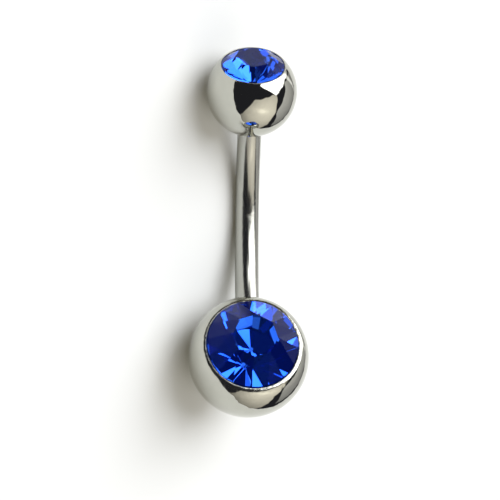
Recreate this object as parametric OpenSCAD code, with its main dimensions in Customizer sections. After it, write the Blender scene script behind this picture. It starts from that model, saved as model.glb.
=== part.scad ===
// Curved barbell navel ring with two jewelled balls, in millimetres.
// The ring is drawn in its own plane, XZ, with the centre of the bar's bend at the origin, the
// lower ball towards +X and the hollow of the bend upwards. on_floor() then lays it down as it
// rests by itself: on both balls and on the middle of the bar, rolled towards -Y.

/* [Bar] */
// Diameter of the bar
bar_d = 1.6; // [1.4:0.1:2]
// Straight length between the bar's two shoulders
bar_l = 12; // [8:0.1:16]
// Bend radius of the bar's middle line
bend_r = 10.8; // [9.5:0.1:30]
// Diameter of the stud and the spigot at the bar's ends, inside the balls
stud_d = 1.2; // [1:0.05:1.3]
// Length of the plain spigot at the lower end
spigot_l = 1.6; // [1:0.1:2]
// Chamfer on the tips of the stud and the spigot
tip_bevel = 0.12; // [0.05:0.01:0.2]

/* [Thread] */
// Pitch of the stud's thread
thread_pitch = 0.25; // [0.2:0.01:0.4]
// Depth of the stud's thread
thread_depth = 0.13; // [0.05:0.01:0.2]

/* [Balls] */
// Diameter of the upper ball, which screws on
upper_ball_d = 6; // [5.4:0.1:7]
// Diameter of the lower ball
lower_ball_d = 8; // [7.6:0.1:10]
// Depth of the flat that the bar's shoulder seats on, below the ball's edge there
spot_depth = 0.1; // [0:0.01:0.3]
// Room past the tips of the stud and the spigot in their bores
bore_room = 0.15; // [0.05:0.01:0.3]
// Steel left between the upper ball's bore and the hollow for its stone
seat_web = 0.3; // [0.1:0.05:0.6]
// Running gap between the bar and the balls
fit_gap = 0.03; // [0.01:0.01:0.06]

/* [Stones] */
// Diameter of the upper stone
upper_stone_d = 4.1; // [3:0.1:4.3]
// Diameter of the lower stone
lower_stone_d = 6; // [4.5:0.1:6.4]
// Angle from the bar's lower end to the lower stone's axis
lower_lean = 84; // [75:1:95]
// Turn of the lower ball about the bar's lower end
lower_twist = -4; // [-15:1:15]
// Turn of each stone in its seat, counted from a table corner in the ring's plane
stone_turn = 22.5; // [0:0.5:45]

/* [Cut of the stones] */
// Number of main facets round each stone
main_facets = 8; // [8:1:12]
// Table radius as a share of the stone's radius
table_share = 0.5; // [0.4:0.01:0.65]
// How far the star facets reach from the table to the girdle, as a share
star_share = 0.18; // [0.1:0.01:0.5]
// Slope of the main crown facets
crown_angle = 39; // [28:1:42]
// Slope of the main back facets
back_angle = 41; // [36:1:42]
// Radius at which the lower girdle facets end, as a share of the stone's radius
halves_share = 0.25; // [0.15:0.01:0.5]
// Height of the girdle at its thinnest
girdle_h = 0.05; // [0.02:0.01:0.1]

/* [Seats] */
// Gap all round each stone
seat_gap = 0.04; // [0.02:0.01:0.1]
// Width of the lip's top round each stone
lip_w = 0.08; // [0.05:0.01:0.2]
// Height of the lip above the stone's girdle
lip_h = 0.13; // [0.05:0.01:0.2]

/* [Hidden] */
steel = "silver";
sapphire = [0.04, 0.16, 0.8];
overlap = 0.001; // one cut runs this far into the next
pin_root = bar_d / 4; // the stud and the spigot start this far inside the bar
round_fn = 96;
pin_fn = 48;
thread_cols = 16; // corners round the thread
thread_rows = 4; // rows of corners in one pitch
edge_steps = 3; // corners along the edge of one girdle facet

upper_r = upper_ball_d / 2;
lower_r = lower_ball_d / 2;

// Half of the bar's bend, seen from the centre of the bend
half_bend = asin(bar_l / 2 / bend_r);

// Each ball's shoulder plane and the bar's end lie this far from the ball's centre
mouth_r = bar_d / 2 + fit_gap;
function shoulder(r) = sqrt(r * r - mouth_r * mouth_r) - spot_depth;
function bar_end(r) = shoulder(r) + fit_gap;

// Centres of the balls in the ring's plane, as [x, z]
function past_end(side, reach) = [
    side * (bend_r * sin(half_bend) + reach * cos(half_bend)),
    -bend_r * cos(half_bend) + reach * sin(half_bend)
];
upper_centre = past_end(-1, bar_end(upper_r));
lower_centre = past_end(1, bar_end(lower_r));
centres_line = lower_centre - upper_centre;
centres_l = norm(centres_line);
centres_tilt = atan2(centres_line[1], centres_line[0]);

// Rest on the floor: the centres' line rises to the larger ball, and the ring rolls sideways until
// the lowest point of the bar is on the floor too. bend_h is the height of the bend's centre over
// the centres' line, and foot_h the height above the floor of the point below it on that line.
pitch = asin((lower_r - upper_r) / centres_l);
along = [cos(centres_tilt), sin(centres_tilt)];
across = [-sin(centres_tilt), cos(centres_tilt)];
bend_h = -upper_centre * across;
foot_h = upper_r + (-upper_centre * along) * sin(pitch);
drop = foot_h - bar_d / 2;
square_gap = bend_r * bend_r - bend_h * bend_h;
under_root = pow(drop * bend_h, 2) - square_gap * (pow(bend_r * sin(pitch), 2) - drop * drop);
upright = (drop * bend_h + sqrt(under_root)) / square_gap;
roll = upright < cos(pitch) ? acos(upright / cos(pitch)) : 0;

// Seats: height of the lip's top over the ball's centre, and of the stone's middle plane
function rim_r(stone_d) = stone_d / 2 + seat_gap + lip_w;
function lip_z(ball_d, stone_d) = sqrt(pow(ball_d / 2, 2) - pow(rim_r(stone_d), 2));
function stone_z(ball_d, stone_d) =
    lip_z(ball_d, stone_d) - lip_h - girdle_top(stone_d / 2);

// Cut of a stone. Each half is worked out from its corners on the girdle, at height 0, upwards:
// slope is that of its main facets, and mid the radius of the corners where girdle facets start.
half_step = 180 / main_facets;
function table_r(r) = r * table_share;
function star_r(r) = let (flat = table_r(r) * cos(half_step)) flat + star_share * (r - flat);
function halves_r(r) = r * halves_share;
function main_z(r, slope, x) = (r - x) * tan(slope);
function mid_z(r, slope, mid) = main_z(r, slope, mid * cos(half_step));

// Height on the plane of a girdle facet, from girdle corner to girdle corner, at angle a
function edge_z(r, slope, mid, a) = let (
    chord = r * cos(half_step / 2),
    at_mid = mid * cos(half_step / 2),
    fold = abs(a - 2 * half_step * round(a / (2 * half_step))),
    out = r * cos(fold - half_step / 2)
) (chord - out) / (chord - at_mid) * mid_z(r, slope, mid);

// How far the edge dips below the corners, and so how thick each half of the girdle is at them
function dip(r, slope, mid) = -edge_z(r, slope, mid, half_step / 2);
function girdle_top(r) = girdle_h / 2 + dip(r, crown_angle, star_r(r));
function girdle_bottom(r) = girdle_h / 2 + dip(r, back_angle, halves_r(r));
function back_depth(r) = girdle_bottom(r) + main_z(r, back_angle, 0);

// The hollow for a stone: a wall round the girdle, and under it a cone that clears the back facets
function hollow_r(stone_d) = stone_d / 2 + seat_gap;
function hollow_wall_z(ball_d, stone_d) = let (r = stone_d / 2)
    stone_z(ball_d, stone_d) - girdle_bottom(r)
    - halves_r(r) * (1 - cos(half_step)) * tan(back_angle)
    - seat_gap / cos(back_angle) + seat_gap * tan(back_angle);
function cone_h(stone_d) = stone_d / 2 * tan(back_angle);
function hollow_z(ball_d, stone_d) = hollow_wall_z(ball_d, stone_d) - cone_h(stone_d);

// Length of the threaded stud: what the upper ball has room for under its stone
stud_l = bar_end(upper_r) + hollow_z(upper_ball_d, upper_stone_d) - seat_web - bore_room;

function corner(r, a, z) = [r * cos(a), r * sin(a), z];

module cut_stone(d) {
    r = d / 2;
    n = main_facets;
    edge_n = 2 * n * edge_steps;
    edge_step = half_step / edge_steps;
    top = girdle_top(r);
    low = girdle_bottom(r);
    crown = crown_angle;
    back = back_angle;
    points = concat(
        [for (k = [0:n - 1]) corner(table_r(r), 2 * k * half_step, top + main_z(r, crown, table_r(r)))],
        [for (k = [0:n - 1])
            corner(star_r(r), (2 * k + 1) * half_step, top + mid_z(r, crown, star_r(r)))],
        [for (i = [0:edge_n - 1]) let (a = i * edge_step)
            corner(r, a, top + edge_z(r, crown, star_r(r), a))],
        [for (i = [0:edge_n - 1]) let (a = i * edge_step)
            corner(r, a, -low - edge_z(r, back, halves_r(r), a))],
        [for (k = [0:n - 1])
            corner(halves_r(r), (2 * k + 1) * half_step, -low - mid_z(r, back, halves_r(r)))],
        [[0, 0, -back_depth(r)]]
    );
    // First index of each row of corners
    star = n;
    upper = 2 * n;
    lower = upper + edge_n;
    halves = lower + edge_n;
    culet = halves + n;
    // The girdle's corners along one girdle facet, from corner f to the next
    function edge(row, f) = [for (i = [0:edge_steps]) row + (f * edge_steps + i) % edge_n];
    function backwards(list) = [for (i = [len(list) - 1:-1:0]) list[i]];
    faces = concat(
        [[for (k = [n - 1:-1:0]) k]],
        [for (k = [0:n - 1]) [(k + 1) % n, star + k, k]],
        [for (k = [0:n - 1]) [k, star + k, upper + 2 * k * edge_steps, star + (k + n - 1) % n]],
        [for (f = [0:2 * n - 1]) concat([star + floor(f / 2)], backwards(edge(upper, f)))],
        [for (i = [0:edge_n - 1]) let (j = (i + 1) % edge_n)
            [upper + i, upper + j, lower + j, lower + i]],
        [for (f = [0:2 * n - 1]) concat([halves + floor(f / 2)], edge(lower, f))],
        [for (k = [0:n - 1])
            [culet, halves + (k + n - 1) % n, lower + 2 * k * edge_steps, halves + k]]
    );
    rotate([0, 0, stone_turn]) polyhedron(points = points, faces = faces, convexity = 2);
}

module stone_hollow(ball_d, stone_d) {
    wall_z = hollow_wall_z(ball_d, stone_d);
    translate([0, 0, lip_z(ball_d, stone_d)]) cylinder(h = ball_d, r = ball_d, $fn = round_fn);
    translate([0, 0, wall_z]) cylinder(h = ball_d, r = hollow_r(stone_d), $fn = round_fn);
    translate([0, 0, hollow_z(ball_d, stone_d) + overlap])
        cylinder(h = cone_h(stone_d), r1 = seat_gap, r2 = hollow_r(stone_d), $fn = round_fn);
}

// The bore for a stud and the flat for the bar's shoulder, entering the ball from below
module bar_hollow(r, pin_l) {
    pin_top = -bar_end(r) + pin_l + bore_room;
    translate([0, 0, -2 * r]) cylinder(h = 2 * r + pin_top, r = stud_d / 2 + fit_gap, $fn = pin_fn);
    translate([0, 0, -2 * r]) cylinder(h = 2 * r - shoulder(r), r = mouth_r, $fn = pin_fn);
}

// Places in the ring's plane: local Z points out of the bar's end, through the ball's centre
module at_ball(side, centre) {
    translate([centre[0], 0, centre[1]]) rotate([0, side * (90 - half_bend), 0]) children();
}

module at_lower_stone() {
    at_ball(1, lower_centre) rotate([0, 0, lower_twist]) rotate([0, -lower_lean, 0]) children();
}

// Lays the ring on the floor, with the origin under the middle of its box
module on_floor() {
    seat_z = lip_z(upper_ball_d, upper_stone_d);
    // Direction of the upper stone's axis towards -X, after the roll and the pitch
    upper_axis = half_bend + centres_tilt;
    facing = cos(upper_axis) * cos(pitch) + sin(upper_axis) * cos(roll) * sin(pitch);
    cut_reach = seat_z * facing + rim_r(upper_stone_d) * sqrt(1 - facing * facing);
    left = facing * upper_r > seat_z ? cut_reach : upper_r;
    right = centres_l * cos(pitch) + lower_r;
    translate([(left - right) / 2, 0, upper_r])
        rotate([0, -pitch, 0])
        rotate([roll, 0, 0])
        rotate([0, centres_tilt, 0])
        translate([-upper_centre[0], 0, -upper_centre[1]])
        children();
}

// A plain round pin of length l with a chamfered tip, starting a little below the floor of its frame
module pin(d, l) {
    translate([0, 0, -pin_root]) cylinder(h = pin_root + l - tip_bevel, r = d / 2, $fn = pin_fn);
    translate([0, 0, l - tip_bevel])
        cylinder(h = tip_bevel, r1 = d / 2, r2 = d / 2 - tip_bevel, $fn = pin_fn);
}

// A pin with a helical thread: a grid of corners whose radius follows the thread's ridge
module threaded_pin(d, l) {
    steps = ceil((pin_root + l) / thread_pitch * thread_rows);
    rise = (pin_root + l) / steps;
    function ridge(z, a) = let (
        turn = z / thread_pitch - a / 360,
        saw = abs(2 * (turn - floor(turn)) - 1)
    ) d / 2 - thread_depth * saw;
    function row_r(z, a) = min(ridge(z, a), d / 2 - tip_bevel + (l - z));
    points = concat(
        [for (i = [0:steps], j = [0:thread_cols - 1])
            let (z = i * rise - pin_root, a = j * 360 / thread_cols) corner(row_r(z, a), a, z)],
        [[0, 0, -pin_root], [0, 0, l]]
    );
    foot = (steps + 1) * thread_cols;
    function at(i, j) = i * thread_cols + j % thread_cols;
    faces = concat(
        [for (i = [0:steps - 1], j = [0:thread_cols - 1]) [at(i, j), at(i + 1, j), at(i + 1, j + 1)]],
        [for (i = [0:steps - 1], j = [0:thread_cols - 1]) [at(i, j), at(i + 1, j + 1), at(i, j + 1)]],
        [for (j = [0:thread_cols - 1]) [foot, at(0, j), at(0, j + 1)]],
        [for (j = [0:thread_cols - 1]) [foot + 1, at(steps, j + 1), at(steps, j)]]
    );
    polyhedron(points = points, faces = faces, convexity = 8);
}

module curved_bar() {
    color(steel) on_floor() {
        rotate([90, 0, 0])
            rotate([0, 0, -90 - half_bend])
            rotate_extrude(angle = 2 * half_bend, $fn = 2 * round_fn)
            translate([bend_r, 0])
            circle(r = bar_d / 2, $fn = pin_fn);
        at_ball(-1, upper_centre) translate([0, 0, -bar_end(upper_r)]) threaded_pin(stud_d, stud_l);
        at_ball(1, lower_centre) translate([0, 0, -bar_end(lower_r)]) pin(stud_d, spigot_l);
    }
}

module lower_ball() {
    color(steel) on_floor() difference() {
        at_lower_stone() difference() {
            sphere(r = lower_r, $fn = round_fn);
            stone_hollow(lower_ball_d, lower_stone_d);
        }
        at_ball(1, lower_centre) bar_hollow(lower_r, spigot_l);
    }
}

module lower_stone() {
    color(sapphire) on_floor() at_lower_stone()
        translate([0, 0, stone_z(lower_ball_d, lower_stone_d)]) cut_stone(lower_stone_d);
}

module upper_ball() {
    color(steel) on_floor() at_ball(-1, upper_centre) difference() {
        sphere(r = upper_r, $fn = round_fn);
        stone_hollow(upper_ball_d, upper_stone_d);
        bar_hollow(upper_r, stud_l);
    }
}

module upper_stone() {
    color(sapphire) on_floor() at_ball(-1, upper_centre)
        translate([0, 0, stone_z(upper_ball_d, upper_stone_d)]) cut_stone(upper_stone_d);
}

curved_bar();
lower_ball();
lower_stone();
upper_ball();
upper_stone();
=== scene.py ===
# Curved barbell navel ring: a bent steel bar between two jewelled steel balls, on a pale floor.
# Shapes are worked out in millimetres in the ring's own plane, then laid on the floor in metres.
import math

import bmesh
import bpy
from mathutils import Matrix, Vector


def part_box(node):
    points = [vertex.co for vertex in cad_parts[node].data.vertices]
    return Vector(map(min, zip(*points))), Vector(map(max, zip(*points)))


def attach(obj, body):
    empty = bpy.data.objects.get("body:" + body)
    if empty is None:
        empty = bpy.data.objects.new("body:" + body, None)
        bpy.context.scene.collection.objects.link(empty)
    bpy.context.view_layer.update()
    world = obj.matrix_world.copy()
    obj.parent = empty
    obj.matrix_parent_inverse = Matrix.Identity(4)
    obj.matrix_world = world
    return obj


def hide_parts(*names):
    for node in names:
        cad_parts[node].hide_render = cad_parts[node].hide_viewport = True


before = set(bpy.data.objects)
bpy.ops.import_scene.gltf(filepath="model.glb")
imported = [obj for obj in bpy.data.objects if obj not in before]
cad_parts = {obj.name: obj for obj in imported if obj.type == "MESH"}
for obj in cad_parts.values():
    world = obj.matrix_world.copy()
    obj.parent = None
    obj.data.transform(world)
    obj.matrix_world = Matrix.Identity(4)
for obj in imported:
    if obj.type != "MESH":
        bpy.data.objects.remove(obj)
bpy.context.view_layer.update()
print("frame loaded:", ", ".join(sorted(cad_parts)))

scene = bpy.context.scene
scene.view_settings.view_transform = "Standard"
scene.view_settings.look = "None"


class Wire:
    # a socket whose sums, products and so on become Math nodes
    def __init__(self, maker, socket):
        self.maker = maker
        self.socket = socket

    def __add__(self, other):
        return self.maker.sum("ADD", self, other)

    def __radd__(self, other):
        return self.maker.sum("ADD", other, self)

    def __sub__(self, other):
        return self.maker.sum("SUBTRACT", self, other)

    def __rsub__(self, other):
        return self.maker.sum("SUBTRACT", other, self)

    def __mul__(self, other):
        return self.maker.sum("MULTIPLY", self, other)

    def __rmul__(self, other):
        return self.maker.sum("MULTIPLY", other, self)

    def __truediv__(self, other):
        return self.maker.sum("DIVIDE", self, other)

    def __rtruediv__(self, other):
        return self.maker.sum("DIVIDE", other, self)

    def __neg__(self):
        return self.maker.sum("MULTIPLY", self, -1.0)

    def __gt__(self, other):
        return self.maker.sum("GREATER_THAN", self, other)


class NodeMaker:
    def __init__(self, tree):
        self.tree = tree
        self.last = None
        tree.nodes.clear()

    def add(self, kind, settings=None, sockets=None, output=0):
        # settings first, because some of them change which sockets a node has
        node = self.tree.nodes.new(kind)
        for name, value in (settings or {}).items():
            setattr(node, name, value)
        for name, value in (sockets or {}).items():
            if isinstance(value, Wire):
                self.tree.links.new(value.socket, node.inputs[name])
            else:
                node.inputs[name].default_value = value
        self.last = node
        return Wire(self, node.outputs[output]) if len(node.outputs) else node

    def out(self, name):
        # another output of the node made last
        return Wire(self, self.last.outputs[name])

    def parts(self, vector):
        self.add("ShaderNodeSeparateXYZ", sockets={0: vector})
        return self.out("X"), self.out("Y"), self.out("Z")

    def sum(self, operation, *values, clamp=False):
        return self.add("ShaderNodeMath", {"operation": operation, "use_clamp": clamp},
                        dict(enumerate(values)))

    def clamp(self, value, low=0.0, high=1.0):
        return self.sum("MINIMUM", self.sum("MAXIMUM", value, low), high)

    def soft(self, value, width):
        # 0 below and 1 above zero, with a soft step of that width
        return self.sum("MULTIPLY_ADD", value, 1.0 / width, 0.5, clamp=True)

    def scaled(self, colour, amount):
        return self.add("ShaderNodeVectorMath", {"operation": "SCALE"},
                        {0: colour, "Scale": amount})

    def together(self, first, second):
        return self.add("ShaderNodeVectorMath", {"operation": "ADD"}, {0: first, 1: second})

    def noise(self, place, scale, detail):
        return self.add("ShaderNodeTexNoise", sockets={
            "Vector": place, "Scale": scale, "Detail": detail})

    def surface(self, sockets):
        shader = self.add("ShaderNodeBsdfPrincipled", sockets=sockets)
        self.add("ShaderNodeOutputMaterial", sockets={"Surface": shader})


def newMaterial(name):
    material = bpy.data.materials.new(name)
    material.use_nodes = True
    return material, NodeMaker(material.node_tree)


mm = 0.001  # in metres
ring = {
    "barDiameter": 1.6,
    "barLength": 12.0,  # straight, from shoulder to shoulder
    "bendRadius": 10.8,
    "studDiameter": 1.2,
    "studLength": 2.3292,
    "spigotLength": 1.6,
    "tipBevel": 0.12,
    "upperDiameter": 6.0,
    "lowerDiameter": 8.0,
    "spotDepth": 0.1,  # the flat under the bar's shoulder
    "boreRoom": 0.15,
    "fitGap": 0.03,
    "lowerLean": 84.0,  # from the bar's lower end to the lower stone's axis
    "lowerTwist": -4.0,
}
upperR = ring["upperDiameter"] / 2
lowerR = ring["lowerDiameter"] / 2
barR = ring["barDiameter"] / 2
mouthR = barR + ring["fitGap"]
halfBend = math.asin(ring["barLength"] / 2 / ring["bendRadius"])


def shoulder(ballR):
    return math.sqrt(ballR ** 2 - mouthR ** 2) - ring["spotDepth"]


def barEnd(ballR):
    return shoulder(ballR) + ring["fitGap"]


def pastEnd(side, reach):
    # a point past one end of the bar, in the ring's plane; the bend's centre is the origin
    bendR = ring["bendRadius"]
    return Vector((side * (bendR * math.sin(halfBend) + reach * math.cos(halfBend)), 0.0,
                   -bendR * math.cos(halfBend) + reach * math.sin(halfBend)))


def turn(axis, angle):
    return Matrix.Rotation(angle, 4, axis)


upperCentre = pastEnd(-1, barEnd(upperR))
lowerCentre = pastEnd(1, barEnd(lowerR))
centresLine = lowerCentre - upperCentre
centresTilt = math.atan2(centresLine.z, centresLine.x)


def layOnFloor():
    # both balls and the middle of the bar touch the floor
    length = centresLine.length
    pitch = math.asin((lowerR - upperR) / length)
    along = Vector((math.cos(centresTilt), 0.0, math.sin(centresTilt)))
    across = Vector((-math.sin(centresTilt), 0.0, math.cos(centresTilt)))
    bendHeight = -upperCentre.dot(across)
    footHeight = upperR - upperCentre.dot(along) * math.sin(pitch)
    drop = footHeight - barR
    bendR = ring["bendRadius"]
    squareGap = bendR ** 2 - bendHeight ** 2
    root = (drop * bendHeight) ** 2 - squareGap * ((bendR * math.sin(pitch)) ** 2 - drop ** 2)
    roll = math.acos((drop * bendHeight + math.sqrt(root)) / squareGap / math.cos(pitch))
    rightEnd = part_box("lower_ball")[1].x / mm  # the CAD's place along X
    place = Vector((rightEnd - lowerR - length * math.cos(pitch), 0.0, upperR))
    return (Matrix.Scale(mm, 4) @ Matrix.Translation(place) @ turn("Y", -pitch)
            @ turn("X", roll) @ turn("Y", centresTilt) @ Matrix.Translation(-upperCentre))


onFloor = layOnFloor()
atUpperBall = onFloor @ Matrix.Translation(upperCentre) @ turn("Y", halfBend - math.pi / 2)
atLowerBall = onFloor @ Matrix.Translation(lowerCentre) @ turn("Y", math.pi / 2 - halfBend)
lowerStoneTurn = (turn("Z", math.radians(ring["lowerTwist"]))
                  @ turn("Y", -math.radians(ring["lowerLean"])))
atLowerStone = atLowerBall @ lowerStoneTurn


def addPiece(name, mesh, body, node):
    piece = bpy.data.objects.new(name, mesh)
    scene.collection.objects.link(piece)
    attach(piece, body)
    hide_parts(node)
    print(f"{name}: {len(mesh.polygons)} faces")


def newTree(name, inputs):
    # an empty Geometry Nodes tree, its maker and its inputs, whose names are given by their kind
    tree = bpy.data.node_groups.new(name, "GeometryNodeTree")
    make = NodeMaker(tree)
    tree.interface.new_socket("Geometry", in_out="OUTPUT", socket_type="NodeSocketGeometry")
    for kind, names in {"Geometry": ("Geometry",), **inputs}.items():
        for inputName in names:
            tree.interface.new_socket(inputName, in_out="INPUT", socket_type=f"NodeSocket{kind}")
    make.add("NodeGroupInput")
    read = {socket.name: Wire(make, socket) for socket in make.last.outputs if socket.name}
    return tree, make, read


def nodesMesh(name, start, tree, values, place):
    # what a tree makes of a start mesh, as a plain mesh laid in its place
    source = bpy.data.objects.new(name + "Source", start)
    scene.collection.objects.link(source)
    modifier = source.modifiers.new(tree.name, "NODES")
    modifier.node_group = tree
    for item in tree.interface.items_tree:
        if item.item_type == "SOCKET" and item.in_out == "INPUT" and item.name in values:
            modifier[item.identifier] = values[item.name]
    graph = bpy.context.evaluated_depsgraph_get()
    mesh = bpy.data.meshes.new_from_object(source.evaluated_get(graph))
    mesh.name = name
    source.modifiers.clear()
    bpy.data.objects.remove(source)
    mesh.transform(place)
    return mesh


cameraLook = {
    "distance": 200.0,
    "towards": (-0.0559, -0.7257, 0.6857),  # from the ring to the camera
    "up": (-0.9969, 0.0037, -0.0776),
    "middle": (-0.5386, 0.0, 3.5),  # halfway between the balls' centres
    "pixelsPerMm": 15.15,
    "picture": 500,  # its width in pixels
    "imageDrop": 25.57,  # that point shows so many pixels above the middle of the picture
    "sensor": 36.0,
}


def addCamera():
    towards = Vector(cameraLook["towards"]).normalized()
    up = Vector(cameraLook["up"])
    up = (up - towards * up.dot(towards)).normalized()
    middle = Vector(cameraLook["middle"])
    place = middle + towards * cameraLook["distance"]
    aim = middle - up * cameraLook["imageDrop"] / cameraLook["pixelsPerMm"]
    back = (place - aim).normalized()
    right = up.cross(back).normalized()
    up = back.cross(right)
    data = bpy.data.cameras.new("photoCamera")
    data.sensor_width = cameraLook["sensor"]
    data.lens = (cameraLook["sensor"] * cameraLook["pixelsPerMm"] * cameraLook["distance"]
                 / cameraLook["picture"])
    data.clip_start = 0.01
    camera = bpy.data.objects.new("photoCamera", data)
    scene.collection.objects.link(camera)
    turned = Matrix((right, up, back)).transposed()
    camera.matrix_world = Matrix.Translation(place * mm) @ turned.to_4x4()
    scene.camera = camera


addCamera()
print("camera placed")


studio = {
    "dark": (0.026, 0.026, 0.032),  # the unlit room
    "ceiling": 3.85,  # white sheet over the upper ball's side
    "ceilingFoot": 0.25,  # what is left of its light below its lit part
    "ceilingFootRise": 0.4,  # where that part begins, as a direction's Z
    "ceilingFootSoftness": 0.25,
    "wall": 1.06,  # cream, on the lower ball's side
    "wallRise": (1.344, 0.203, 1.428),  # how it brightens along X, Y and Z
    "wallStart": -0.754,
    "wallRange": (0.35, 1.5),
    "wallColour": (1.0, 0.94, 0.82),
    "glow": 0.22,  # on the wall, from a light before it, at azimuth 86 and elevation 43
    "glowAxes": ((-0.057, 0.987, 0.149), (-0.681, -0.148, 0.717)),  # level and upright
    "glowFall": 60.0,  # how fast it fades along both
    "streak": 0.4,  # the same light's level streak
    "streakFall": (11.0, 100.0),
    "lamp": 10.0,  # small and soft, low on the camera's left
    "lampWay": (-67, 46),
    "lampAngle": 2.1,
    "lampSoftness": 0.02,
    "board": 0.6,  # grey, behind
    "boardRise": (0.5, 1.2),  # its light at the floor and how it grows with Z
    "boardColour": (1.0, 0.99, 0.97),
    "strip": 0.9,  # the white sheet's turned-down edge
    "softEdge": 0.03,
    "backdrop": 1.05,
    "floor": (0.77, 0.79, 0.805, 1),
    "paintedFloorGlow": (0.055, 0.047, 0.028, 1),  # painted light: the floor glows faintly warm, which lightens the shadows on it
    "sheetEnds": (0.05, -0.08),  # in metres along X and Y
    "sheetReach": 1.0,
}
aboveFloor = (0, 0, 1)
# the room's surfaces, each inside planes through the ring: where a x + b y + c z is over 0
roomEdges = {
    "behind": ((1.31, 1, -0.455), (1, 0.51, 0)),
    "ceiling": ((-1, 0.385, -0.04), (-1.2, 1, 0.14), (0.676, 1, 0.69), aboveFloor),
    "strip": ((-1, 0, -0.88), (1, 0, 1.45), (0, 1, 1), aboveFloor),
    "wall": ((1, 0.42, -0.176), (1, 0.07, -0.112), (1, 1.54, 0.652), (1, -2, 0.62)),
    "board": ((0.19, 0.9325, -1), (-0.9, 1, -0.066), (1, 0.43, 0), aboveFloor),
}


def studioWay(azimuth, elevation):
    # a direction by its turn from -Y towards +X and its rise over the floor, in degrees
    azimuth, elevation = math.radians(azimuth), math.radians(elevation)
    return (math.sin(azimuth) * math.cos(elevation), -math.cos(azimuth) * math.cos(elevation),
            math.sin(elevation))


def addRoom():
    world = bpy.data.worlds.new("studio")
    scene.world = world
    world.use_nodes = True
    make = NodeMaker(world.node_tree)
    x, y, z = make.parts(make.add("ShaderNodeTexCoord", output="Generated"))

    def along(way):
        return x * way[0] + y * way[1] + z * way[2]

    def inside(name):
        # 1 where a direction meets that surface, with soft edges
        share = None
        for plane in roomEdges[name]:
            edge = make.soft(along(Vector(plane).normalized()), studio["softEdge"])
            share = edge if share is None else share * edge
        return share

    foot = studio["ceilingFoot"]
    lit = make.soft(z - studio["ceilingFootRise"], studio["ceilingFootSoftness"])
    ceiling = (1.0 - inside("behind")) * inside("ceiling") * (lit * (1.0 - foot) + foot)

    level, upright = (along(axis) for axis in studio["glowAxes"])
    level, upright = level * level, upright * upright
    levelFall, uprightFall = studio["streakFall"]
    glow = make.sum("EXPONENT", (level + upright) * -studio["glowFall"])
    streak = make.sum("EXPONENT", level * -levelFall + upright * -uprightFall)
    wall = make.clamp(along(studio["wallRise"]) + studio["wallStart"], *studio["wallRange"])
    wallLight = wall * studio["wall"] + (glow * studio["glow"] + streak * studio["streak"])

    lampEdge = math.cos(math.radians(studio["lampAngle"]))
    lamp = make.soft(along(studioWay(*studio["lampWay"])) - lampEdge, studio["lampSoftness"])
    boardFoot, boardGrowth = studio["boardRise"]
    boardLight = (boardFoot + boardGrowth * z) * studio["board"]

    white = (1.0, 1.0, 1.0)
    total = make.scaled(white, ceiling * studio["ceiling"])
    for amount, colour in (
            (inside("wall") * wallLight, studio["wallColour"]),
            (inside("board") * boardLight, studio["boardColour"]),
            (inside("strip") * studio["strip"] + lamp * studio["lamp"], white)):
        total = make.together(total, make.scaled(colour, amount))
    total = make.together(total, studio["dark"])
    seen = make.add("ShaderNodeLightPath", output="Is Camera Ray")
    # sockets 4 and 5 and output 1 are the Mix node's vectors
    total = make.add("ShaderNodeMix", {"data_type": "VECTOR"},
                     {0: seen, 4: total, 5: (studio["backdrop"],) * 3}, output=1)
    background = make.add("ShaderNodeBackground", sockets={"Color": total})
    make.add("ShaderNodeOutputWorld", sockets={"Surface": background})


def addFloor():
    # a sheet that ends before the cream wall and on the camera's left
    mesh = bpy.data.meshes.new("floor")
    far, (endX, endY) = studio["sheetReach"], studio["sheetEnds"]
    mesh.from_pydata([(-far, endY, 0), (endX, endY, 0), (endX, far, 0), (-far, far, 0)],
                     [], [(0, 1, 2, 3)])
    floor = bpy.data.objects.new("floor", mesh)
    scene.collection.objects.link(floor)
    material, make = newMaterial("paleFloor")
    # the floor's faint warm emission is painted light that lifts its shadows
    make.surface({"Base Color": studio["floor"], "Roughness": 1.0, "Specular IOR Level": 0.0,
                  "Emission Color": studio["paintedFloorGlow"], "Emission Strength": 1.0})
    mesh.materials.append(material)


addRoom()
addFloor()
print("studio lit")


steelLook = {
    "colour": (0.485, 0.485, 0.435),
    "roughness": 0.035,
    "haze": 0.03,
    "hazeScale": 900.0,
    "wave": 1.1e-5,  # height of the slow waves that polishing leaves
    "waveScale": 2000.0,
    "mottle": 0.12,  # how much the colour varies
    "mottleScale": 1700.0,
    "wornRoughness": 0.2,  # on the burnished lips
    "dents": 2.8e-5,
    "dentScale": 3200.0,
}
barFinish = {
    "colour": (0.42, 0.42, 0.385),
    "roughness": 0.2,
    "grain": 0.16,
    "grainScale": 11.0,
    "groove": 8.0e-6,
    "mottle": 0.3,
}


def metalSurface(make, look, pattern, rough, height):
    bump = make.add("ShaderNodeBump", sockets={
        "Strength": 1.0, "Distance": 1.0, "Height": height})
    colour = make.scaled(look["colour"], pattern * look["mottle"] + (1.0 - look["mottle"] / 2))
    make.surface({"Base Color": colour, "Metallic": 1.0, "Roughness": rough, "Normal": bump})


def steelFinish(name, look):
    material, make = newMaterial(name)
    place = make.add("ShaderNodeTexCoord", output="Object")
    worn = make.add("ShaderNodeAttribute", {"attribute_name": "wear"}, output="Fac")
    cloud = make.noise(place, look["hazeScale"], detail=4.0)
    rough = (cloud * look["haze"] + (look["roughness"] - look["haze"] / 2)
             + worn * look["wornRoughness"])
    wave = make.noise(place, look["waveScale"], detail=1.0)
    dent = make.noise(place, look["dentScale"], detail=1.0)
    height = wave * look["wave"] + dent * worn * look["dents"]
    patch = make.noise(place, look["mottleScale"], detail=3.0)
    metalSurface(make, look, patch, rough, height)
    return material


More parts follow.
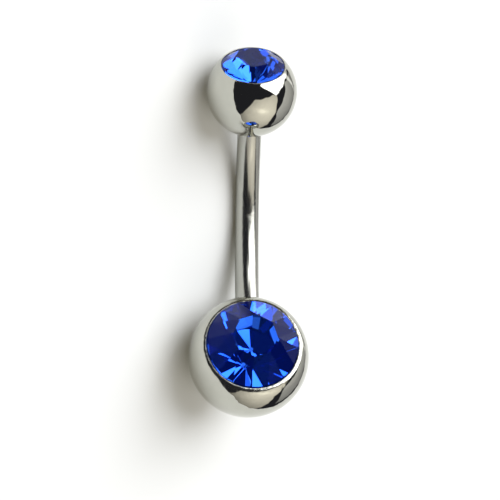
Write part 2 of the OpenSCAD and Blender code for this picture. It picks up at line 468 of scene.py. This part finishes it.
def drawnFinish(name, look):
    # steel with fine streaks along the bar, whose unrolled surface is kept in an attribute
    material, make = newMaterial(name)
    place = make.add("ShaderNodeAttribute", {"attribute_name": "unrolled"}, output="Vector")
    grain = make.noise(place, look["grainScale"], detail=3.0)
    rough = grain * look["grain"] + (look["roughness"] - look["grain"] / 2)
    metalSurface(make, look, grain, rough, grain * look["groove"])
    return material


glassLook = {
    "colour": (0.045, 0.21, 1.0, 1),
    "index": 1.553,
    "sheen": (0.0, 0.06, 0.4, 1),
    "foilColour": (0.6, 0.72, 1.0, 1),
    "paintedBlueGlow": (0.0008, 0.002, 0.024, 1),  # painted glow: a faint blue emission of the foil that lightens the stone's dark facets
    "foilRoughness": 0.01,
}


def glassFinish(name, look):
    material, make = newMaterial(name)
    make.surface({"Base Color": look["colour"], "Roughness": 0.0, "IOR": look["index"],
                  "Transmission Weight": 1.0, "Specular Tint": look["sheen"]})
    return material


def foilFinish(name, look):
    material, make = newMaterial(name)
    # the foil's faint blue emission is a painted glow in the stone's dark facets
    make.surface({"Base Color": look["foilColour"], "Metallic": 1.0,
                  "Roughness": look["foilRoughness"], "Emission Color": look["paintedBlueGlow"],
                  "Emission Strength": 1.0})
    return material


steel = steelFinish("polishedSteel", steelLook)
drawnSteel = drawnFinish("drawnSteel", barFinish)
blueGlass = glassFinish("blueGlass", glassLook)
mirrorFoil = foilFinish("mirrorFoil", glassLook)
print("finishes made")


barLook = {
    "columns": 64,
    "rowStep": 0.025,
    "threadPitch": 0.25,
    "threadDepth": 0.13,
    "threadFade": 0.12,
    "grainStretch": 0.12,  # of the unrolled surface along the bar
}


def barTree():
    # a round bar along a bend, with a threaded stud at one end and a plain spigot at the other
    tree, make, read = newTree("bentBar", {
        "Float": ("Bar radius", "Bend radius", "Half bend", "Stud radius", "Stud length",
                  "Spigot length", "Tip bevel", "Thread pitch", "Thread depth", "Thread fade",
                  "Grain stretch"),
        "Int": ("Rows", "Columns"), "Material": ("Steel",)})
    barRadius, bendRadius, half = read["Bar radius"], read["Bend radius"], read["Half bend"]
    studRadius, studLength = read["Stud radius"], read["Stud length"]
    spigotLength, tipBevel = read["Spigot length"], read["Tip bevel"]

    halfArc = half * bendRadius
    length = halfArc * 2.0 + studLength + spigotLength
    tube = make.add("GeometryNodeMeshCylinder", {"fill_type": "NGON"}, {
        "Vertices": read["Columns"], "Side Segments": read["Rows"], "Radius": 1.0,
        "Depth": length})
    px, py, pz = make.parts(make.add("GeometryNodeInputPosition"))
    angle = make.sum("ARCTAN2", py, px)
    # 0 in the bar's middle, and negative towards the stud's end
    along = pz + (spigotLength - studLength) / 2.0
    inStud = -along - halfArc
    inSpigot = along - halfArc

    wholeTurns = 100.0  # keeps the count of turns over zero
    turns = inStud / read["Thread pitch"] + angle / math.tau
    ridge = make.sum("ABSOLUTE", make.sum("FRACT", turns + wholeTurns) * 2.0 - 1.0)
    fade = make.clamp(inStud / read["Thread fade"])
    threaded = studRadius - read["Thread depth"] * ridge * fade
    studTip = studRadius - tipBevel + (studLength - inStud)
    spigotTip = studRadius - tipBevel + (spigotLength - inSpigot)
    onStud = inStud > 0.0
    onSpigot = inSpigot > 0.0
    radius = (onStud * make.sum("MINIMUM", threaded, studTip)
              + onSpigot * make.sum("MINIMUM", studRadius, spigotTip)
              + (1.0 - onStud - onSpigot) * barRadius)

    onArc = make.sum("MINIMUM", make.sum("MAXIMUM", along, -halfArc), halfArc)
    theta = onArc / bendRadius
    over = along - onArc
    sine, cosine = make.sum("SINE", theta), make.sum("COSINE", theta)
    angleSine, angleCosine = make.sum("SINE", angle), make.sum("COSINE", angle)
    out = radius * angleCosine
    bent = make.add("ShaderNodeCombineXYZ", sockets={
        "X": sine * bendRadius + over * cosine - out * sine,
        "Y": -(radius * angleSine),
        "Z": over * sine - cosine * bendRadius + out * cosine})
    placed = make.add("GeometryNodeSetPosition", sockets={"Geometry": tube, "Position": bent})
    unrolled = make.add("ShaderNodeCombineXYZ", sockets={
        "X": angleCosine, "Y": angleSine, "Z": along * read["Grain stretch"]})
    marked = make.add("GeometryNodeStoreNamedAttribute",
                      {"data_type": "FLOAT_VECTOR", "domain": "POINT"},
                      {"Geometry": placed, "Name": "unrolled", "Value": unrolled})
    smooth = make.add("GeometryNodeSetShadeSmooth", sockets={"Geometry": marked})
    real = make.add("GeometryNodeRealizeInstances", sockets={"Geometry": smooth})
    dressed = make.add("GeometryNodeSetMaterial", sockets={
        "Geometry": real, "Material": read["Steel"]})
    make.add("NodeGroupOutput", sockets={0: dressed})
    return tree


def addBar():
    arc = 2 * halfBend * ring["bendRadius"]
    rows = round((arc + ring["studLength"] + ring["spigotLength"]) / barLook["rowStep"])
    mesh = nodesMesh("bentBar", bpy.data.meshes.new("start"), barTree(), {
        "Bar radius": barR, "Bend radius": ring["bendRadius"], "Half bend": halfBend,
        "Stud radius": ring["studDiameter"] / 2, "Stud length": ring["studLength"],
        "Spigot length": ring["spigotLength"], "Tip bevel": ring["tipBevel"],
        "Thread pitch": barLook["threadPitch"], "Thread depth": barLook["threadDepth"],
        "Thread fade": barLook["threadFade"], "Grain stretch": barLook["grainStretch"],
        "Rows": rows, "Columns": barLook["columns"], "Steel": drawnSteel}, onFloor)
    addPiece("bentBar", mesh, "bar", "curved_bar")


addBar()


# a lip is burnished over its stone: the radius and the angle of its flattened outside, the radius
# of its rounding, and how far its crest stands out from the hollow's wall and dips towards it
seat = {
    "gap": 0.04,  # all round each stone
    "lipWidth": 0.08,
    "upperLip": {
        "flattening": 0.3,
        "bend": math.radians(5),
        "rounding": 0.10,
        "crest": 0.03,
        "dip": 0.015,
    },
    "lowerLip": {
        "flattening": 1.6,
        "bend": math.radians(20),
        "rounding": 0.36,
        "crest": 0.06,
        "dip": 0.04,
    },
    "mouthRounding": 0.05,
    "boreTaper": 0.98,  # of the bore's end, as a share of its radius
    "boreChamfer": 0.02,
    "wallChamfer": 0.01,
    "tipRise": 0.04,  # of the hollow's last ring over its tip
}
cut = {
    "facets": 8,
    "girdle": 0.05,
    "edgeSteps": 7,  # in half a facet
    "edgeWear": 0.012,
    "foilDepth": 0.08,  # where the foil begins under the girdle, as a share of the radius
    "mergeWithin": 0.0005,
    "flatWithin": math.radians(0.5),  # faces that are joined into one facet
    "wornOver": math.radians(4),  # edges sharper than that are worn
    "wornSlope": 0.2,
}
upperCut = {
    "radius": 2.05,
    "depth": -0.03,  # of the girdle's upper edge under the ball's cut
    "tableShare": 0.55,
    "starShare": 0.2,
    "crownAngle": math.radians(33),
    "backAngle": math.radians(41.8),
    "pointWear": 0.01,  # the flat at the point, as a share of the radius
    "turn": math.radians(24.5),
    "backSteps": 0,  # how many edge steps the back is turned against the crown
    "lean": (0.0, math.radians(-2.0)),  # in its seat, about X and Y
}
lowerCut = {
    "radius": 3.0,
    "depth": 0.13,
    "tableShare": 0.456,
    "starShare": 0.117,
    "crownAngle": math.radians(42),
    "backAngle": math.radians(41.3),
    "pointWear": 0.046,
    "turn": math.radians(18.9),
    "backSteps": 1,
    "lean": (math.radians(0.5), math.radians(1.5)),
}
ballLook = {
    "upperColumns": 224,
    "upperRows": 96,
    "lowerColumns": 400,
    "arcSteps": 12,  # in each of a lip's two arcs
    "crestSteps": 8,  # from a lip's crest to the hollow's wall
    "mouthSteps": 6,
}
halfStep = math.pi / cut["facets"]


def starR(stone):
    flat = stone["radius"] * stone["tableShare"] * math.cos(halfStep)
    return flat + stone["starShare"] * (stone["radius"] - flat)


def mainZ(r, slope, x):
    return (r - x) * math.tan(slope)


def midZ(r, slope, mid):
    return mainZ(r, slope, mid * math.cos(halfStep))


def edgeZ(r, slope, mid, angle):
    # height of a girdle facet's lower edge, from girdle corner to girdle corner
    chord = r * math.cos(halfStep / 2)
    atMid = mid * math.cos(halfStep / 2)
    fold = abs(angle - 2 * halfStep * round(angle / (2 * halfStep)))
    return (chord - r * math.cos(fold - halfStep / 2)) / (chord - atMid) * midZ(r, slope, mid)


def girdleTop(stone):
    dip = edgeZ(stone["radius"], stone["crownAngle"], starR(stone), halfStep / 2)
    return cut["girdle"] / 2 - dip


def cornerZ(stone):
    # how far the corners of the back's facets reach below the middle of the girdle
    flat = stone["radius"] * math.cos(halfStep)
    return cut["girdle"] + mainZ(stone["radius"], stone["backAngle"], flat)


def rimR(stone):
    return stone["radius"] + seat["gap"] + seat["lipWidth"]


def lipZ(ballR, stone):
    return math.sqrt(ballR ** 2 - rimR(stone) ** 2)


def stoneZ(ballR, stone):
    return lipZ(ballR, stone) - stone["depth"] - girdleTop(stone)


def rounded(start, corner, end, steps):
    # a rounded corner from start to end, with the corner's two sides as tangents
    points = []
    for i in range(steps + 1):
        t = i / steps
        points.append(tuple((1 - t) ** 2 * a + 2 * t * (1 - t) * b + t * t * c
                            for a, b, c in zip(start, corner, end)))
    return points


def lipArcs(ballR, crestR, lip):
    # a wide arc that touches the ball's surface from inside, and a small one that follows it and
    # is level at the crest; with them the angle at which the first leaves the ball
    wide, small, bend = lip["flattening"], lip["rounding"], lip["bend"]
    across = ballR - wide + (wide - small) * math.cos(bend)
    aside = (wide - small) * math.sin(bend)
    angle = math.asin(crestR / math.hypot(across, aside)) + math.atan2(aside, across)
    wideWay = Vector((math.sin(angle), math.cos(angle)))
    smallWay = Vector((math.sin(angle - bend), math.cos(angle - bend)))
    wideMiddle = wideWay * (ballR - wide)
    smallMiddle = wideMiddle + smallWay * (wide - small)
    steps = ballLook["arcSteps"]
    points = []
    for middle, radius, start, end in ((wideMiddle, wide, angle, angle - bend),
                                       (smallMiddle, small, angle - bend, 0.0)):
        for i in range(steps):
            part = start + (end - start) * i / steps
            points.append((middle.x + radius * math.sin(part),
                           middle.y + radius * math.cos(part)))
    points.append((crestR, smallMiddle.y + small))
    return angle, points


def lipProfile(ballR, stone, lip):
    # (radius, height) from the ball's surface over the lip and down the hollow to the axis, with
    # how worn each of the points is
    inner = stone["radius"] + seat["gap"]
    angle, points = lipArcs(ballR, inner + lip["crest"], lip)
    wear = [i / len(points) for i in range(len(points))]
    crestZ = points[-1][1]
    edge = (inner, crestZ - lip["dip"])
    points += rounded(points[-1], (inner + lip["crest"] / 2, crestZ), edge,
                      ballLook["crestSteps"])[1:]
    steep = math.tan(stone["backAngle"])
    leaning = stone["radius"] * sum(abs(lean) for lean in stone["lean"])
    wallZ = (stoneZ(ballR, stone) - cornerZ(stone) - leaning
             - seat["gap"] / math.cos(stone["backAngle"]) + seat["gap"] * steep)
    coneZ = wallZ - stone["radius"] * steep
    chamfer = seat["wallChamfer"]
    points += [(inner, edge[1] - chamfer), (inner, wallZ + chamfer), (inner, wallZ),
               (inner - chamfer, wallZ - chamfer * steep),
               (seat["gap"] * 2, coneZ + seat["tipRise"]), (seat["gap"], coneZ)]
    return angle, points, coneZ, wear + [1.0] * (len(points) - len(wear))


def mouthProfile(ballR, pinLength):
    # (radius, height) from the bore's inner end down to the ball's surface, where the bar enters
    bore = ring["studDiameter"] / 2 + ring["fitGap"]
    boreTop = -barEnd(ballR) + pinLength + ring["boreRoom"]
    flat = -shoulder(ballR)
    small, bevel, chamfer = seat["mouthRounding"], seat["boreChamfer"], seat["wallChamfer"]
    angle = math.asin(mouthR / ballR) + small / ballR
    edge = (ballR * math.sin(angle), -ballR * math.cos(angle))
    corner = (mouthR, -math.sqrt(ballR ** 2 - mouthR ** 2))
    points = [(bore * seat["boreTaper"], boreTop), (bore, boreTop - bevel), (bore, flat + bevel),
              (bore + bevel, flat), (mouthR - chamfer, flat), (mouthR, flat - chamfer)]
    points += rounded((mouthR, corner[1] + small), corner, edge, ballLook["mouthSteps"])
    return angle, points, boreTop


def ringsMesh(name, rings, firstPole, lastPole, wear):
    # closed rings of equal count, joined in order, with a pole at both ends; the last are worn
    count = len(rings[0])
    vertices = [v for row in rings for v in row] + [firstPole, lastPole]
    faces = []
    for i in range(len(rings) - 1):
        for j in range(count):
            k = (j + 1) % count
            faces.append((i * count + j, i * count + k, (i + 1) * count + k, (i + 1) * count + j))
    last = (len(rings) - 1) * count
    for j in range(count):
        k = (j + 1) % count
        faces.append((len(vertices) - 2, k, j))
        faces.append((last + j, last + k, len(vertices) - 1))
    mesh = bpy.data.meshes.new(name)
    mesh.from_pydata(vertices, [], faces)
    shape = bmesh.new()
    shape.from_mesh(mesh)
    bmesh.ops.recalc_face_normals(shape, faces=shape.faces)
    shape.to_mesh(mesh)
    shape.free()
    mesh.shade_smooth()
    worn = [0.0] * (len(rings) - len(wear)) + wear
    values = [amount for amount in worn for j in range(count)] + [0.0, 1.0]
    mesh.attributes.new("wear", "FLOAT", "POINT").data.foreach_set("value", values)
    mesh.materials.append(steel)
    return mesh


def addUpperBall():
    columns, rows = ballLook["upperColumns"], ballLook["upperRows"]
    mouthAngle, mouth, boreTop = mouthProfile(upperR, ring["studLength"])
    lipAngle, lip, coneZ, wear = lipProfile(upperR, upperCut, seat["upperLip"])
    profile = list(mouth)
    for i in range(1, rows):
        angle = math.pi - mouthAngle + (lipAngle - math.pi + mouthAngle) * i / rows
        profile.append((upperR * math.sin(angle), upperR * math.cos(angle)))
    profile += lip
    turns = [math.tau * j / columns for j in range(columns)]
    rings = [[(radius * math.cos(angle), radius * math.sin(angle), height) for angle in turns]
             for radius, height in profile]
    mesh = ringsMesh("upperBall", rings, (0, 0, boreTop), (0, 0, coneZ), wear)
    mesh.transform(atUpperBall)
    addPiece("upperBall", mesh, "screw_ball", "upper_ball")


def lorentz(a, b):
    # a product of two circles on the unit sphere that round maps leave as it is
    return a[0] * b[0] + a[1] * b[1] + a[2] * b[2] - a[3] * b[3]


def circleOn(axis, angle):
    # a circle on the unit sphere as a vector with a fourth part, so that round maps become turns
    size = math.sin(angle)
    return Vector((axis.x / size, axis.y / size, axis.z / size, math.cos(angle) / size))


def sphereGrid(lipAxis, lipAngle, mouthAxis, mouthAngle, columns):
    # rings of points on the unit sphere, from the lip's circle to the mouth's, of which neither
    # crosses another: the one round map that makes the two circles concentric, undone
    lipCircle = circleOn(lipAxis, lipAngle)
    mouthCircle = circleOn(mouthAxis, mouthAngle)
    gap = lorentz(lipCircle, mouthCircle)
    later = (mouthCircle - lipCircle * gap) / math.sqrt(gap * gap - 1)
    if later[3] < 0:
        later = -later
    crosswise = lipAxis.cross(mouthAxis).normalized()
    first = Vector((*crosswise, 0.0))
    second = Vector((*mouthAxis, 0.0))
    for base, sign in ((first, 1), (lipCircle, 1), (later, -1)):
        second = second - base * (sign * lorentz(second, base))
    second = second / math.sqrt(lorentz(second, second))
    reach = math.acosh(abs(gap))
    rows = round(columns * reach / math.tau)
    rings = []
    for i in range(rows + 1):
        # from the lip's circle, the equator, down to the mouth's
        span = reach * i / rows
        down, across = math.tanh(span), 1 / math.cosh(span)
        row = []
        for j in range(columns):
            angle = math.tau * j / columns
            point = (later + first * (across * math.cos(angle))
                     + second * (across * math.sin(angle)) - lipCircle * down)
            row.append(Vector(point[:3]) / point[3])
        rings.append(row)
    return rings


def roundAxis(axis, points, profile):
    # rings about an axis, at the same turns as the points of a first ring
    ways = [(p - axis * p.dot(axis)).normalized() for p in points]
    return [[axis * height + way * radius for way in ways] for radius, height in profile]


def addLowerBall():
    mouthAngle, mouth, boreTop = mouthProfile(lowerR, ring["spigotLength"])
    lipAngle, lip, coneZ, wear = lipProfile(lowerR, lowerCut, seat["lowerLip"])
    lipAxis = lowerStoneTurn @ Vector((0, 0, 1))
    barAxis = Vector((0, 0, 1))
    grid = sphereGrid(lipAxis, lipAngle, -barAxis, mouthAngle, ballLook["lowerColumns"])
    rings = roundAxis(barAxis, grid[-1], mouth)
    rings += [[p * lowerR for p in row] for row in grid[-2:0:-1]]
    rings += roundAxis(lipAxis, grid[0], lip)
    mesh = ringsMesh("lowerBall", rings, barAxis * boreTop, lipAxis * coneZ, wear)
    mesh.transform(atLowerBall)
    addPiece("lowerBall", mesh, "bar", "lower_ball")


addUpperBall()
addLowerBall()


def wedgeMesh(stone):
    # an eighth of a stone: of its crown, and of its back a little further round
    r, crown, slope = stone["radius"], stone["crownAngle"], stone["backAngle"]
    steps = cut["edgeSteps"]
    step = halfStep / steps
    top, star, table = girdleTop(stone), starR(stone), stone["radius"] * stone["tableShare"]
    tableZ = top + mainZ(r, crown, table)
    point = stone["pointWear"] * r
    pointZ = -cut["girdle"] - mainZ(r, slope, point)
    points = []

    def put(radius, angle, z):
        points.append((radius * math.cos(angle), radius * math.sin(angle), z))
        return len(points) - 1

    def row(start, height):
        # along the girdle, with the height worked out from the angle past the start
        return [put(r, start + step * i, height(step * i)) for i in range(2 * steps + 1)]

    def upperEdge(angle):
        return top + edgeZ(r, crown, star, angle)

    def lowerEdge(angle):
        return -cut["girdle"] - mainZ(r, slope, r * math.cos(angle - halfStep))

    centre, starPoint = put(0, 0, tableZ), put(star, halfStep, top + midZ(r, crown, star))
    cornerA, cornerB = put(table, 0, tableZ), put(table, 2 * halfStep, tableZ)
    upper = row(0, upperEdge)
    upperRim = row(0, lambda angle: 0)
    backStart = step * stone["backSteps"] - halfStep
    lowerRim = row(backStart, lambda angle: 0)
    lower = row(backStart, lowerEdge)
    tip = put(0, 0, pointZ)
    tipA = put(point / math.cos(halfStep), backStart, pointZ)
    tipB = put(point / math.cos(halfStep), backStart + 2 * halfStep, pointZ)
    faces = [(centre, cornerA, cornerB), (cornerA, starPoint, cornerB),
             (cornerA, upper[0], starPoint), (starPoint, upper[-1], cornerB),
             (starPoint, *upper[:steps + 1]), (starPoint, *upper[steps:]),
             (tip, tipB, tipA), (tipA, tipB, *lower[::-1])]
    for high, low in ((upper, upperRim), (lowerRim, lower)):
        faces += [(high[i], low[i], low[i + 1], high[i + 1]) for i in range(2 * steps)]
    mesh = bpy.data.meshes.new("wedge")
    mesh.from_pydata(points, [], faces)
    return mesh


def stoneTree():
    # repeats a wedge round the stone's axis, closes it and gives its back the foil
    tree, make, read = newTree("cutStone", {
        "Float": ("Turn", "Foil below", "Merge within"), "Int": ("Facets",),
        "Material": ("Glass", "Foil")})
    facets = read["Facets"]
    one = make.add("GeometryNodeGeometryToInstance", sockets={0: read["Geometry"]})
    copies = make.add("GeometryNodeDuplicateElements", {"domain": "INSTANCE"},
                      {"Geometry": one, "Amount": facets})
    number = make.out("Duplicate Index")
    turned = make.add("ShaderNodeCombineXYZ", sockets={
        "Z": number * math.tau / facets + read["Turn"]})
    spread = make.add("GeometryNodeRotateInstances", sockets={
        "Instances": copies, "Rotation": turned})
    real = make.add("GeometryNodeRealizeInstances", sockets={"Geometry": spread})
    closed = make.add("GeometryNodeMergeByDistance", sockets={
        "Geometry": real, "Distance": read["Merge within"]})
    glass = make.add("GeometryNodeSetMaterial", sockets={
        "Geometry": closed, "Material": read["Glass"]})
    height = make.parts(make.add("GeometryNodeInputPosition"))[2]
    foiled = make.add("GeometryNodeSetMaterial", sockets={
        "Geometry": glass, "Selection": read["Foil below"] > height, "Material": read["Foil"]})
    make.add("NodeGroupOutput", sockets={0: foiled})
    return tree


cutStone = stoneTree()


def wearEdges(mesh):
    # joins the triangles of each facet and takes the sharpness off the edges that show
    shape = bmesh.new()
    shape.from_mesh(mesh)
    bmesh.ops.recalc_face_normals(shape, faces=shape.faces)
    bmesh.ops.dissolve_limit(shape, angle_limit=cut["flatWithin"], verts=shape.verts,
                             edges=shape.edges, delimit={"MATERIAL"})
    worn = [e for e in shape.edges
            if len(e.link_faces) == 2 and e.calc_face_angle() > cut["wornOver"]
            and all(f.material_index == 0 and abs(f.normal.z) > cut["wornSlope"]
                    for f in e.link_faces)]
    bmesh.ops.bevel(shape, geom=worn, offset=cut["edgeWear"], segments=1, affect="EDGES",
                    profile=0.5, clamp_overlap=True)
    shape.to_mesh(mesh)
    shape.free()


def addStone(name, stone, ballR, place, body, node):
    seated = (Matrix.Translation((0, 0, stoneZ(ballR, stone)))
              @ turn("X", stone["lean"][0]) @ turn("Y", stone["lean"][1]))
    mesh = nodesMesh(name, wedgeMesh(stone), cutStone, {
        "Facets": cut["facets"], "Turn": stone["turn"], "Merge within": cut["mergeWithin"],
        "Foil below": -cut["foilDepth"] * stone["radius"],
        "Glass": blueGlass, "Foil": mirrorFoil}, seated)
    wearEdges(mesh)
    mesh.transform(place)
    addPiece(name, mesh, body, node)


addStone("upperStone", upperCut, upperR, atUpperBall, "screw_ball", "upper_stone")
addStone("lowerStone", lowerCut, lowerR, atLowerStone, "bar", "lower_stone")
